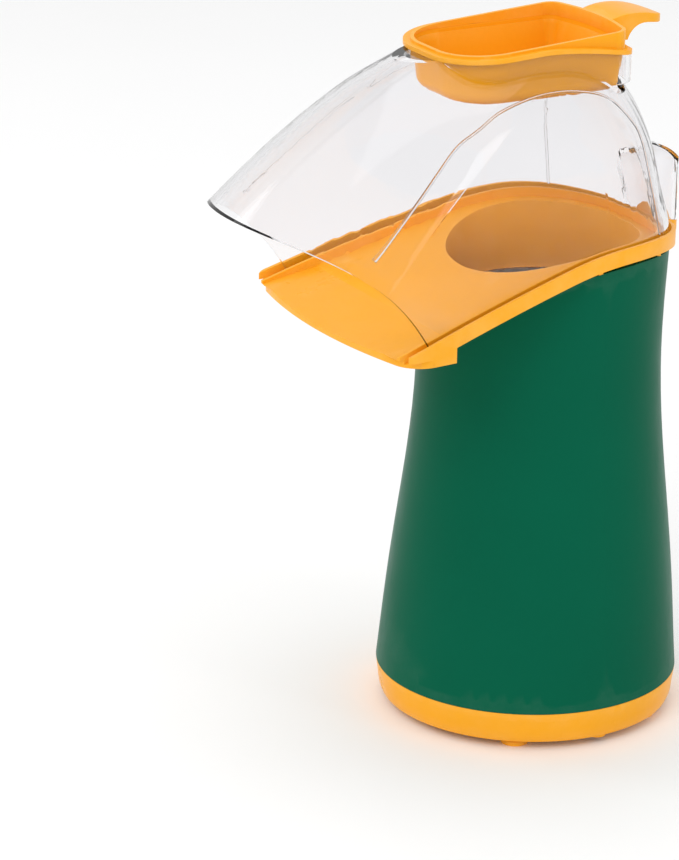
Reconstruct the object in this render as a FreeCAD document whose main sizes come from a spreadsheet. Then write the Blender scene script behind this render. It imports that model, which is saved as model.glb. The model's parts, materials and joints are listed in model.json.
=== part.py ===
import FreeCAD, Part
import math
import os

import Sketcher

# A hot-air popcorn maker, in millimetres. +Z is up, the chute points along -Y,
# and the origin is on the table under the axis of the round base.

DOC = FreeCAD.newDocument("hot_air_popper")
V = FreeCAD.Vector
UP = V(0, 0, 1)

# Driving dimensions: name, value, meaning. They fill the spreadsheet "size".
SIZES = [
    ("core_y", 2.4, "the waist, chamber, fan and motor stand this far behind the origin"),
    ("gap", 0.3, "clearance between pieces that lift apart"),
    ("foot_height", 3.0, "feet under the base"),
    ("foot_radius", 6.5, ""),
    ("foot_inset", 12.7, "from the base's widest radius to the circle the feet stand on"),
    ("base_radius", 73.2, "widest radius, at the seam with the housing"),
    ("base_draft", 1.6, "how much narrower the base is at its lower edge"),
    ("base_edge", 4.0, "rounding of the base's lower edge"),
    ("seam_z", 19.3, "height of the seam between base and housing"),
    ("base_wall", 2.4, "wall of the base pan"),
    ("spigot_height", 4.0, "ring of the base pan inside the housing"),
    ("seam_gap", 0.2, "between the base and the housing"),
    ("spigot_gap", 0.8, "between that ring and the narrowing housing"),
    ("slot_count", 20, "air slots in the floor"),
    ("slot_width", 3.0, ""),
    ("slot_inner", 24.0, "radii between which the floor slots run"),
    ("slot_outer", 44.0, ""),
    ("shell_wall", 2.4, "wall of the housing"),
    ("waist_radius", 58.8, "housing radius at the waist"),
    ("waist_low_level", -78.4, "the waist runs between these levels, from the ridge"),
    ("waist_high_level", -43.4, ""),
    ("shell_top_level", -3.4, "uncut top of the housing, from the ridge"),
    ("ledge_height", 2.0, "ledge inside the housing that carries the collar"),
    ("ledge_width", 3.4, ""),
    ("screw_inset", 7.7, "from the base's widest radius to the circle of the housing screws"),
    ("screw_radius", 1.5, ""),
    ("screw_head_radius", 3.0, ""),
    ("screw_head_height", 2.0, ""),
    ("screw_sink", 2.0, "by which the housing screws are sunk into the base"),
    ("boss_radius", 5.4, ""),
    ("boss_height", 14.0, ""),
    ("gland_z", 12.2, "height of the cord inlet in the back of the base"),
    ("gland_radius", 5.5, ""),
    ("gland_flange", 6.3, ""),
    ("gland_bore", 3.6, "radius of the gland's hole"),
    ("gland_stand", 1.5, "by which the gland stands out of the base"),
    ("gland_length", 12.0, ""),
    ("plate_z", 52.0, "underside of the motor plate"),
    ("plate_thick", 1.5, ""),
    ("plate_rim", 10.0, "the plate and the duct's foot run this far out of the duct"),
    ("plate_inset", 6.0, "from the rim of the plate to the circle of its screws"),
    ("post_radius", 4.6, "posts of the base that carry the plate"),
    ("inlet_count", 6, "air holes in the plate"),
    ("inlet_radius", 6.0, ""),
    ("inlet_ring", 28.5, ""),
    ("can_radius", 18.0, "motor can"),
    ("motor_screw_ring", 11.2, "from the shaft to each motor screw"),
    ("can_height", 35.0, ""),
    ("can_wall", 1.2, ""),
    ("cap_height", 4.5, "plastic end of the motor"),
    ("shaft_radius", 1.6, ""),
    ("shaft_run", 0.05, "running clearance of the shaft in its bushes"),
    ("bush_radius", 4.0, ""),
    ("bush_height", 5.0, ""),
    ("magnet_thick", 2.6, ""),
    ("magnet_height", 24.0, ""),
    ("air_gap", 0.5, "between the magnets and the armature"),
    ("core_height", 20.0, "armature stack"),
    ("core_slots", 5, ""),
    ("commutator_radius", 4.2, ""),
    ("commutator_height", 4.0, ""),
    ("brush_width", 3.0, ""),
    ("brush_lift", 0.8, "from the rim of the motor's end to the brushes"),
    ("fan_gap", 6.0, "from the tips of the fan to the duct"),
    ("fan_blades", 16, ""),
    ("fan_disc", 1.6, ""),
    ("blade_height", 13.0, ""),
    ("blade_thick", 1.4, ""),
    ("fan_lift", 5.5, "from the top of the plate to the fan's disc"),
    ("hub_radius", 5.5, ""),
    ("duct_gap", 2.0, "from the popping chamber's radius to the inside of the air duct"),
    ("duct_wall", 2.0, ""),
    ("duct_height", 50.0, ""),
    ("duct_lip", 6.0, "inward lips of the duct"),
    ("heater_lift", 25.0, "ledge under the heater boards, above the plate"),
    ("board_height", 20.0, "mica boards"),
    ("board_thick", 0.8, ""),
    ("board_gap", 0.8, "from the ends of the boards to the duct"),
    ("coil_radius", 30.0, ""),
    ("coil_wire", 0.8, "radius of the heater wire's coil"),
    ("coil_pitch", 5.0, ""),
    ("coil_turns", 3, ""),
    ("chamber_radius", 46.0, "outside of the popping chamber"),
    ("chamber_wall", 0.9, ""),
    ("chamber_level", -39.4, "underside of its flange, from the ridge"),
    ("chamber_flange", 4.0, "width of its flange"),
    ("chamber_corner", 3.0, "bevel round its floor"),
    ("collar_height", 6.0, ""),
    ("louvre_count", 24, ""),
    ("louvre_width", 1.8, ""),
    ("louvre_height", 12.0, ""),
    ("louvre_lift", 8.0, "from the chamber's floor"),
    ("dome_radius", 20.0, "raised middle of the chamber's floor"),
    ("dome_height", 7.0, ""),
    ("thermostat_z", 140.0, ""),
    ("thermostat_radius", 8.0, ""),
    ("thermostat_depth", 5.0, ""),
    ("fuse_length", 16.0, ""),
    ("fuse_radius", 2.0, ""),
    ("tray_radius", 63.0, "rounded back of the chute tray"),
    ("tray_overhang", 2.4, "by which the tray is wider than the top of the housing"),
    ("tray_gap", 2.4, "from the tray's band down to the housing's edge"),
    ("tray_spread", 4.9, "degrees by which each side runs outward"),
    ("tray_side_y", -98.0, "front end of the straight sides"),
    ("tray_front_y", -119.0, "middle of the pouring lip"),
    ("tray_half", 60.0, "half width of the pouring lip"),
    ("tray_corner_y", -112.6, "where the lip meets its corners"),
    ("tray_bulge", 3.7, "rounding of those corners"),
    ("flare_level", -34.9, "above this the pouring lip has squarer corners"),
    ("flare_half", 68.0, ""),
    ("flare_side_y", -106.0, ""),
    ("flare_bulge", 2.0, ""),
    ("band_height", 7.3, "outer band of the tray"),
    ("band_wall", 2.0, ""),
    ("channel_width", 5.4, "channel that takes the hood"),
    ("channel_depth", 5.2, ""),
    ("inner_lip", 1.8, "wall on the inner side of the channel"),
    ("inner_drop", 1.0, "by which that wall is lower than the outer one"),
    ("tray_floor", 2.0, ""),
    ("bevel_run", 13.5, "bevel at the front end of the outer band"),
    ("bevel_drop", 4.3, ""),
    ("lip_thick", 0.8, "least thickness of the spout's floor"),
    ("step_y", -86.0, "the spout is deeper in front of here"),
    ("step_drop", 7.2, "by which the spout's lowest edge is under the band there"),
    ("spout_level", -37.4, "front end of the spout's floor, from the ridge"),
    ("throat_wall", 2.0, ""),
    ("rib_width", 2.2, "ribs between the tray and the housing"),
    ("terminal_wide", 22.0, "block where the mains wires are joined"),
    ("terminal_deep", 12.0, ""),
    ("terminal_tall", 9.0, ""),
    ("terminal_y", 40.0, ""),
    ("terminal_bore", 1.8, ""),
    ("terminal_pitch", 7.0, ""),
    ("ridge_z", 243.4, "highest point of the tray's edge; levels are measured from it"),
    ("ridge_y", 21.0, ""),
    ("rise_y", -20.0, "the edge is steeper in front of here"),
    ("rise_level", -5.2, "the edge at rise_y"),
    ("front_level", -27.6, "the edge at the front of the sides"),
    ("tab_half", 15.0, "half width of the tab at the back"),
    ("tab_out", 6.6, "by which the tab stands out of the tray's back"),
    ("tab_corner", 7.0, ""),
    ("tab_thick", 4.8, ""),
    ("tongue_half", 11.0, "arched tongue on the tab, inside the hood's grip"),
    ("tongue_rise", 8.0, ""),
    ("tongue_thick", 2.0, ""),
    ("hood_wall", 2.2, ""),
    ("hood_inset", 3.3, "from the tray's edge to the hood's outside"),
    ("seat_gap", 0.1, "under what rests on another piece"),
    ("ear_level", 28.6, "top of the hood's rear grip"),
    ("ear_corner", 9.0, "rounding of its rear edge"),
    ("tip_y", -165.5, "front edge of the hood, at the middle"),
    ("tip_level", 21.2, ""),
    ("mouth_y", -127.0, "point half way down the hood's front edge"),
    ("mouth_level", 1.7, ""),
    ("brow_y", -121.7, "point on the middle of the roof"),
    ("brow_level", 57.6, ""),
    ("crown_y", -75.0, "front end of the flat top"),
    ("crown_level", 88.3, ""),
    ("nose", 67.5, "length of the rounded front of each level of the hood"),
    ("collar_out", 3.1, "from the cup's rim outline to the outside of the hood's collar"),
    ("collar_level", 70.6, "lower end of that collar"),
    ("cup_half", 33.3, "half width of the cup's rim"),
    ("cup_front", -63.2, ""),
    ("cup_back", 30.2, ""),
    ("cup_front_corner", 25.0, ""),
    ("cup_back_corner", 8.0, ""),
    ("cup_bow", 3.2, "by which the middle of the cup's back stands out"),
    ("cup_wall", 1.8, ""),
    ("cup_gap", 0.8, "between the cup and the inside of the collar"),
    ("cup_flange", 3.4, "how far the flange stands out from the rim"),
    ("cup_flange_thick", 2.1, ""),
    ("cup_floor_level", 65.6, "underside of the cup"),
    ("cup_taper", 3.0, "the cup is narrower by this at its floor"),
    ("cup_edge", 6.0, "rounding of its lower edge"),
    ("seat_front_level", 86.6, "underside of the cup's flange at its front"),
    ("seat_top_y", -24.0, "the flange bends down behind here"),
    ("seat_top_level", 88.7, ""),
    ("seat_bend_y", 14.0, "and runs straight again behind here"),
    ("seat_bend_level", 85.6, ""),
    ("seat_back_level", 83.1, "underside of the flange at its back"),
    ("rim_front_level", 89.7, ""),
    ("rim_back_level", 95.2, ""),
    ("grip_half", 13.0, "half width of the cup's handle"),
    ("grip_y", 60.5, "end of the handle"),
    ("grip_level", 96.6, "top of the handle"),
    ("grip_thick", 3.6, ""),
]

SHEET = DOC.addObject("Spreadsheet::Sheet", "size")
for row, (alias, value, meaning) in enumerate(SIZES, start=1):
    SHEET.set("A%d" % row, str(value))
    SHEET.set("B%d" % row, meaning)
    SHEET.setAlias("A%d" % row, alias)
DOC.recompute()

PARTS = []


def size(alias):
    """Value of one cell of the spreadsheet."""
    return float(getattr(SHEET, alias))


def keep(piece, name):
    """Gives a finished sub-part its label and remembers it for export."""
    piece.Label = name
    PARTS.append(piece)
    return piece


def axis_place(piece, height=None):
    """Puts a piece on the fan's axis, at a height given as an expression."""
    piece.setExpression("Placement.Base.y", "size.core_y")
    if height:
        piece.setExpression("Placement.Base.z", height)


# ---------------------------------------------------------------- PartDesign helpers

def new_body(name):
    body = DOC.addObject("PartDesign::Body", name)
    keep(body, name)
    return body


def plane(body, role):
    for feature in body.Origin.OriginFeatures:
        if feature.Role == role:
            return feature
    raise ValueError(role)


def new_sketch(body, role, lift=None):
    """Sketch on an origin plane of its own body, lifted by an expression."""
    sketch = body.newObject("Sketcher::SketchObject", body.Name + "_sketch")
    sketch.AttachmentSupport = (plane(body, role), [""])
    sketch.MapMode = "FlatFace"
    if lift:
        sketch.setExpression("AttachmentOffset.Base.z", lift)
    return sketch


def pin_point(sketch, geometry, end, x, y):
    """Fixes one point of the sketch by two expressions."""
    for kind, text in (("DistanceX", x), ("DistanceY", y)):
        value = sketch.evalExpression(text)
        index = sketch.addConstraint(Sketcher.Constraint(kind, -1, 1, geometry, end, float(value)))
        sketch.setExpression("Constraints[%d]" % index, text)


def polygon(sketch, corners):
    """Closed outline whose corners are pairs of expressions."""
    values = [V(*(float(sketch.evalExpression(text)) for text in corner)) for corner in corners]
    first = sketch.GeometryCount
    count = len(corners)
    for i in range(count):
        sketch.addGeometry(Part.LineSegment(values[i], values[(i + 1) % count]))
    for i in range(count):
        following = first + (i + 1) % count
        sketch.addConstraint(Sketcher.Constraint("Coincident", first + i, 2, following, 1))
    for i in range(count):
        pin_point(sketch, first + i, 1, *corners[i])


def circle(sketch, x, y, radius):
    """Circle at an expression point, with an expression radius."""
    centre = V(float(sketch.evalExpression(x)), float(sketch.evalExpression(y)), 0)
    value = float(sketch.evalExpression(radius))
    geometry = sketch.addGeometry(Part.Circle(centre, UP, value))
    pin_point(sketch, geometry, 3, x, y)
    index = sketch.addConstraint(Sketcher.Constraint("Radius", geometry, value))
    sketch.setExpression("Constraints[%d]" % index, radius)


def revolve(body, corners):
    """Turned piece: corners are radius and height."""
    sketch = new_sketch(body, "XZ_Plane")
    polygon(sketch, corners)
    feature = body.newObject("PartDesign::Revolution", body.Name + "_turned")
    feature.Profile = sketch
    feature.ReferenceAxis = (sketch, ["V_Axis"])
    feature.Angle = 360
    sketch.Visibility = False
    DOC.recompute()
    return feature


def pad(body, sketch, length):
    feature = body.newObject("PartDesign::Pad", body.Name + "_pad")
    feature.Profile = sketch
    feature.setExpression("Length", length)
    DOC.recompute()
    return feature


def pocket(body, sketch, length=None, reverse=False):
    """Cuts the sketch out of the body, and makes sure that it took something away."""
    before = body.Shape.Volume
    feature = body.newObject("PartDesign::Pocket", body.Name + "_pocket")
    feature.Profile = sketch
    feature.Reversed = reverse
    if length:
        feature.setExpression("Length", length)
    else:
        feature.Type = "ThroughAll"
        feature.Midplane = True
    DOC.recompute()
    if body.Shape.Volume >= before:
        raise ValueError(body.Name + ": the pocket cuts nothing")
    return feature


def around(body, feature, sketch, count):
    """Repeats a feature about the body's upright axis."""
    pattern = body.newObject("PartDesign::PolarPattern", body.Name + "_ring")
    pattern.Originals = [feature]
    axis = "N_Axis" if "XY" in sketch.AttachmentSupport[0][0].Role else "V_Axis"
    pattern.Axis = (sketch, [axis])
    pattern.Angle = 360
    pattern.setExpression("Occurrences", count)
    body.Tip = pattern
    DOC.recompute()
    return pattern


def turned(name, corners, height=None):
    """A turned piece on the fan's axis."""
    body = new_body(name)
    axis_place(body, height)
    revolve(body, corners)
    return body


def ring(inner, outer, low, high):
    """Corners of a plain ring for revolve()."""
    return [(inner, low), (outer, low), (outer, high), (inner, high)]


# ---------------------------------------------------------------- Part helpers

def cylinder(name, radius, height, x, y, z, direction=None):
    """Part primitive bound to expressions, standing along +Z unless turned."""
    piece = DOC.addObject("Part::Cylinder", name)
    if direction:
        piece.Placement.Rotation = FreeCAD.Rotation(UP, direction)
    piece.setExpression("Radius", radius)
    piece.setExpression("Height", height)
    for letter, text in (("x", x), ("y", y), ("z", z)):
        piece.setExpression("Placement.Base." + letter, text)
    return piece


def block(name, length, width, height, x, y, z):
    piece = DOC.addObject("Part::Box", name)
    for field, text in (("Length", length), ("Width", width), ("Height", height)):
        piece.setExpression(field, text)
    for letter, text in (("x", x), ("y", y), ("z", z)):
        piece.setExpression("Placement.Base." + letter, text)
    return piece


def fused(name, pieces):
    piece = DOC.addObject("Part::MultiFuse", name)
    piece.Shapes = pieces
    return piece


def cut(name, base, tool):
    piece = DOC.addObject("Part::Cut", name)
    piece.Base = base
    piece.Tool = tool
    return piece


def group(name, pieces):
    """Several equal solids that share one node."""
    piece = DOC.addObject("Part::Compound", name)
    piece.Links = pieces
    return keep(piece, name)


def shaped(name, shape):
    """A free-form sub-part."""
    piece = DOC.addObject("Part::Feature", name)
    piece.Shape = shape
    return keep(piece, name)


def spot(radius, degrees, centre="0"):
    """Expressions of a point on a circle about an upright axis."""
    x = "%s * cos(%g)" % (radius, degrees)
    y = "%s + %s * sin(%g)" % (centre, radius, degrees)
    return x, y


# Radii and heights that follow from the driving dimensions, as expressions.
SCREW_RING = "(size.base_radius - size.screw_inset)"
FOOT_RING = "(size.base_radius - size.foot_inset)"
DUCT_R = "(size.chamber_radius + size.duct_gap)"
PLATE_R = "(%s + size.duct_wall + size.plate_rim)" % DUCT_R
PLATE_RING = "(%s - size.plate_inset)" % PLATE_R
FAN_R = "(%s - size.fan_gap)" % DUCT_R
CHAMBER_TOP = "(size.ridge_z + size.chamber_level)"
LEDGE_Z = "(%s - size.collar_height - size.ledge_height)" % CHAMBER_TOP
WAIST_LOW = "(size.ridge_z + size.waist_low_level)"

SCREW_ANGLES = (0, 120, 240)
POST_ANGLES = (60, 180, 300)
FOOT_ANGLES = (36, 144, 216, 324)


# ---------------------------------------------------------------- base and housing

def base_pan():
    """Round pan with air slots, screw tubes, motor posts and the cord inlet."""
    body = new_body("base_pan")
    low = "size.foot_height"
    floor = "size.foot_height + size.base_wall"
    foot_r = "size.base_radius - size.base_draft"
    wall_r = "size.base_radius - size.base_wall"
    top = "size.seam_z + size.spigot_height"
    revolve(body, [
        ("0", low),
        (foot_r + " - size.base_edge", low),
        (foot_r + " - 0.3 * size.base_edge", low + " + 0.3 * size.base_edge"),
        (foot_r, low + " + size.base_edge"),
        ("size.base_radius", "size.seam_z"),
        (wall_r + " - size.spigot_gap", "size.seam_z"),
        (wall_r + " - size.spigot_gap", top),
        (wall_r + " - size.base_wall", top),
        (wall_r + " - size.base_wall", floor + " + size.base_edge"),
        (wall_r + " - size.base_wall - size.base_edge", floor),
        ("0", floor),
    ])
    posts = new_sketch(body, "XY_Plane", floor + " - 0.5")
    for angle in POST_ANGLES:
        circle(posts, *spot(PLATE_RING, angle, "size.core_y"), "size.post_radius")
    pad(body, posts, "size.plate_z - (%s) + 0.5" % floor)
    tubes = new_sketch(body, "XY_Plane", low)
    for angle in SCREW_ANGLES:
        circle(tubes, *spot(SCREW_RING, angle), wall_r + " - size.spigot_gap - " + SCREW_RING)
    pad(body, tubes, "size.seam_z + size.spigot_height - size.foot_height")
    heads = new_sketch(body, "XY_Plane", low)
    for angle in SCREW_ANGLES:
        circle(heads, *spot(SCREW_RING, angle), "size.screw_head_radius + size.gap")
    pocket(body, heads, "size.screw_head_height + size.screw_sink", reverse=True)
    holes = new_sketch(body, "XY_Plane")
    for angle in SCREW_ANGLES:
        circle(holes, *spot(SCREW_RING, angle), "size.screw_radius + size.gap")
    pocket(body, holes)
    sockets = new_sketch(body, "XY_Plane", "size.plate_z")
    for angle in POST_ANGLES:
        circle(sockets, *spot(PLATE_RING, angle, "size.core_y"), "size.screw_radius")
    pocket(body, sockets, "8 * size.screw_radius")
    inlet = new_sketch(body, "XZ_Plane")
    circle(inlet, "0", "size.gland_z", "size.gland_radius")
    pocket(body, inlet, "size.base_radius + 5")
    seat = new_sketch(body, "XZ_Plane")
    circle(seat, "0", "size.gland_z", "size.gland_flange + size.gap")
    pocket(body, seat, "size.base_radius - 2 * size.base_wall")
    slot = new_sketch(body, "XY_Plane")
    half = "size.slot_width / 2"
    polygon(slot, [("size.slot_inner", "-" + half), ("size.slot_outer", "-" + half),
                   ("size.slot_outer", half), ("size.slot_inner", half)])
    first = pocket(body, slot, "size.foot_height + size.base_wall + 0.5", reverse=True)
    around(body, first, slot, "size.slot_count")


def feet():
    pieces = []
    for index, angle in enumerate(FOOT_ANGLES):
        x, y = spot(FOOT_RING, angle)
        disc = cylinder("foot_disc_%d" % index, "size.foot_radius", "size.foot_height", x, y, "0")
        soft = DOC.addObject("Part::Chamfer", "foot_%d" % index)
        soft.Base = disc
        DOC.recompute()
        soft.Edges = [(3, 1.0, 1.0)]
        pieces.append(soft)
    group("feet", pieces)


def level(alias):
    """Height of something whose level is given from the highest point of the tray's edge."""
    return size("ridge_z") + size(alias)


def edge_height(y):
    """Height of the tray's upper edge: two parabolas that meet smoothly at rise_y."""
    reach = size("ridge_y") - size("rise_y")
    slope = -2 * size("rise_level") / reach
    bend = size("rise_level") / reach ** 2
    if y < size("rise_y"):
        run = size("tray_side_y") - size("rise_y")
        bend = (size("front_level") - size("rise_level") - slope * run) / run ** 2
    along = y - size("rise_y")
    return level("rise_level") + slope * along + bend * along ** 2


def side_curve(drop, front_y, back_y):
    """Edges in the plane x = 0 that run parallel to the tray's upper edge, and their ends."""
    stops = [front_y, size("rise_y"), back_y] if front_y < size("rise_y") else [front_y, back_y]
    knots = [V(0, y, edge_height(y) - drop) for y in stops]
    edges = []
    for start, end in zip(knots[:-1], knots[1:]):
        half_way = (start.y + end.y) / 2
        pull = 2 * (edge_height(half_way) - drop) - (start.z + end.z) / 2
        curve = Part.BezierCurve()
        curve.setPoles([start, V(0, half_way, pull), end])
        edges.append(curve.toShape())
    return edges, knots[0], knots[-1]


HALF = 110.0      # half width of the prisms that are cut from side outlines
FAR = 200.0       # reach of cutting tools beyond the piece they shape


def side_prism(edges, half=HALF):
    """Solid from a closed outline in the plane x = 0, spread both ways along X."""
    face = Part.Face(Part.Wire(edges))
    face.translate(V(-half, 0, 0))
    return face.extrude(V(2 * half, 0, 0))


def side_polygon(corners, half=HALF):
    """Solid between straight lines in the plane x = 0: corners are pairs of y and height."""
    points = [V(0, y, z) for y, z in corners]
    points.append(points[0])
    return side_prism(Part.makePolygon(points).Edges, half)


def under_line(drop, front_y, back_y, low=None):
    """Everything under a line parallel to the tray's upper edge, down to low."""
    low = size("ridge_z") - FAR if low is None else low
    edges, start, end = side_curve(drop, front_y, back_y)
    a = V(0, start.y, low)
    b = V(0, end.y, low)
    return side_prism(edges + [Part.makeLine(end, b), Part.makeLine(b, a), Part.makeLine(a, start)])


def housing_gap():
    """From the tray's upper edge down to the housing's top edge."""
    return size("band_height") + size("tray_gap")


def housing_shell():
    """Waisted round shell, closed to the front and open at its slanted top."""
    body = new_body("housing_shell")
    flare = "(size.base_radius - size.waist_radius)"
    rise = "(%s - size.seam_z)" % WAIST_LOW
    stations = [
        ("size.base_radius", "0", "size.seam_z + size.seam_gap"),
        ("size.waist_radius + 0.68 * " + flare, "0.45 * size.core_y", "size.seam_z + 0.35 * " + rise),
        ("size.waist_radius + 0.27 * " + flare, "0.85 * size.core_y", "size.seam_z + 0.69 * " + rise),
        ("size.waist_radius", "size.core_y", WAIST_LOW),
        ("size.waist_radius", "size.core_y", "size.ridge_z + size.waist_high_level"),
        ("size.tray_radius - size.tray_overhang", "size.core_y", "size.ridge_z + size.shell_top_level"),
    ]
    for kind, inset in (("AdditiveLoft", "0"), ("SubtractiveLoft", "size.shell_wall")):
        sketches = []
        for radius, y, z in stations:
            sketch = new_sketch(body, "XY_Plane", z)
            circle(sketch, "0", y, "%s - %s" % (radius, inset))
            sketches.append(sketch)
        DOC.recompute()
        loft = body.newObject("PartDesign::" + kind, "housing_" + kind)
        loft.Profile = sketches[0]
        loft.Sections = sketches[1:]
        loft.Ruled = False
        DOC.recompute()
    ledge = new_sketch(body, "XY_Plane", LEDGE_Z)
    circle(ledge, "0", "size.core_y", "size.waist_radius - size.shell_wall / 2")
    circle(ledge, "0", "size.core_y", "size.waist_radius - size.shell_wall - size.ledge_width")
    pad(body, ledge, "size.ledge_height")
    boss_z = "size.seam_z + size.spigot_height + size.gap"
    bosses = new_sketch(body, "XY_Plane", boss_z)
    for angle in SCREW_ANGLES:
        circle(bosses, *spot(SCREW_RING, angle), "size.boss_radius")
    pad(body, bosses, "size.boss_height")
    sockets = new_sketch(body, "XY_Plane", boss_z)
    for angle in SCREW_ANGLES:
        circle(sockets, *spot(SCREW_RING, angle), "size.screw_radius")
    pocket(body, sockets, "size.boss_height - 2", reverse=True)
    return body


def trimmed_housing():
    """The shell under the slanted line below the tray."""
    body = housing_shell()
    PARTS.remove(body)
    body.Label = "housing_uncut"
    region = DOC.addObject("Part::Feature", "housing_region")
    region.Shape = under_line(housing_gap(), -HALF, HALF, 0)
    piece = DOC.addObject("Part::Common", "housing_shell")
    piece.Base = body
    piece.Tool = region
    keep(piece, "housing_shell")


def housing_screws():
    pieces = []
    head_z = "size.foot_height + size.screw_sink"
    length = "size.seam_z + size.spigot_height + size.boss_height - size.foot_height - 8"
    for index, angle in enumerate(SCREW_ANGLES):
        x, y = spot(SCREW_RING, angle)
        head = cylinder("case_head_%d" % index, "size.screw_head_radius", "size.screw_head_height",
                        x, y, head_z)
        shank = cylinder("case_shank_%d" % index, "size.screw_radius", length, x, y,
                         head_z + " + size.screw_head_height")
        pieces.append(fused("case_screw_%d" % index, [head, shank]))
    group("housing_screws", pieces)


def cord_gland():
    """Rubber bush for a lead, in the back of the base."""
    body = new_body("cord_gland")
    body.Placement = FreeCAD.Placement(V(0, 0, 0), FreeCAD.Rotation(V(1, 0, 0), -90))
    body.setExpression("Placement.Base.z", "size.gland_z")
    body.setExpression("Placement.Base.y",
                       "size.base_radius + size.gland_stand - size.gland_length")
    bore = "size.gland_bore"
    neck = "size.gland_radius"
    outer = "size.gland_flange"
    start = "size.gland_length - size.gland_stand - 2 * size.base_wall"
    revolve(body, [(bore, "0"), (outer, "0"), (outer, start), (neck, start),
                   (neck, "size.gland_length"), (bore, "size.gland_length")])


# ---------------------------------------------------------------- motor and fan

def motor_plate():
    body = turned("motor_plate", ring("size.bush_radius + 0.5", PLATE_R, "0",
                                      "size.plate_thick"), "size.plate_z")
    holes = new_sketch(body, "XY_Plane")
    for angle in POST_ANGLES:
        circle(holes, *spot(PLATE_RING, angle), "size.screw_radius + size.gap")
    for side in ("", "-"):
        circle(holes, side + "size.motor_screw_ring", "0", "size.screw_radius + size.gap")
    pocket(body, holes)
    inlet = new_sketch(body, "XY_Plane")
    circle(inlet, "size.inlet_ring", "0", "size.inlet_radius")
    first = pocket(body, inlet)
    around(body, first, inlet, "size.inlet_count")


def plate_screws():
    pieces = []
    head_z = "size.plate_z + size.plate_thick + size.duct_wall"
    for index, angle in enumerate(POST_ANGLES):
        x, y = spot(PLATE_RING, angle, "size.core_y")
        head = cylinder("plate_head_%d" % index, "size.screw_head_radius",
                        "size.screw_head_height", x, y, head_z)
        shank = cylinder("plate_shank_%d" % index, "size.screw_radius", "7 * size.screw_radius",
                         x, y, head_z + " - 7 * size.screw_radius")
        pieces.append(fused("plate_screw_%d" % index, [head, shank]))
    group("plate_screws", pieces)


def motor_screws():
    pieces = []
    head_z = "size.plate_z + size.plate_thick"
    for index, side in enumerate(("", "-")):
        x = side + "size.motor_screw_ring"
        head = cylinder("motor_head_%d" % index, "size.screw_head_radius",
                        "size.screw_head_height", x, "size.core_y", head_z)
        shank = cylinder("motor_shank_%d" % index, "size.screw_radius",
                         "size.plate_thick + size.can_wall", x, "size.core_y",
                         "size.plate_z - size.can_wall")
        pieces.append(fused("motor_screw_%d" % index, [head, shank]))
    group("motor_screws", pieces)


CAN_Z = "size.plate_z - size.can_height"      # open lower end of the motor can
CAP_Z = "(size.plate_z - size.can_height - size.cap_height)"


def motor_can():
    inner = "size.can_radius - size.can_wall"
    body = turned("motor_can", [
        (inner, "0"),
        ("size.can_radius", "0"),
        ("size.can_radius", "size.can_height"),
        ("size.bush_radius", "size.can_height"),
        ("size.bush_radius", "size.can_height - size.can_wall"),
        (inner, "size.can_height - size.can_wall"),
    ], CAN_Z)
    holes = new_sketch(body, "XY_Plane", "size.can_height")
    for side in ("", "-"):
        circle(holes, side + "size.motor_screw_ring", "0", "size.screw_radius")
    pocket(body, holes, "2 * size.can_wall")


def motor_end_cap():
    seat = "size.can_radius - size.can_wall"
    body = turned("motor_end_cap", [
        ("size.bush_radius", "0"),
        ("size.can_radius", "0"),
        ("size.can_radius", "size.cap_height"),
        (seat, "size.cap_height"),
        (seat, "size.cap_height + 1.5"),
        (seat + " - 1.5", "size.cap_height + 1.5"),
        (seat + " - 1.5", "size.cap_height - 2"),
        ("size.bush_radius", "size.cap_height - 2"),
    ], CAP_Z)
    rest = new_sketch(body, "XY_Plane", "size.cap_height - 2.5")
    half = "size.brush_width / 2"
    inner, outer = "size.can_radius / 2", seat + " - 3"
    polygon(rest, [(inner, "-" + half), (outer, "-" + half), (outer, half), (inner, half)])
    first = pad(body, rest, "2.5 + size.brush_lift")
    around(body, first, rest, "2")


def bushes():
    bore = "size.shaft_radius + size.shaft_run"
    tall = "size.plate_thick + size.can_wall + size.bush_height - 2"
    turned("upper_bush", ring(bore, "size.bush_radius", "0", tall),
           "size.plate_z - size.can_wall - (size.bush_height - 2)")
    turned("lower_bush", ring(bore, "size.bush_radius", "0", "size.cap_height - 1"), CAP_Z)


MAGNET_Z = CAN_Z + " + 5"


def magnets():
    pieces = []
    outer = "size.can_radius - size.can_wall"
    inner = outer + " - size.magnet_thick"
    for index, side in enumerate((1, -1)):
        name = "magnet_%d" % index
        tube = cylinder(name + "_outer", outer, "size.magnet_height", "0", "size.core_y", MAGNET_Z)
        bore = cylinder(name + "_inner", inner, "size.magnet_height", "0", "size.core_y", MAGNET_Z)
        for round_piece, start in ((tube, 20 + 90 * (side - 1)), (bore, 20 + 90 * (side - 1))):
            round_piece.Angle = 140
            round_piece.Placement.Rotation = FreeCAD.Rotation(UP, start)
        pieces.append(cut(name, tube, bore))
    group("magnets", pieces)


ARMATURE_R = "(size.can_radius - size.can_wall - size.magnet_thick - size.air_gap)"


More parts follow.
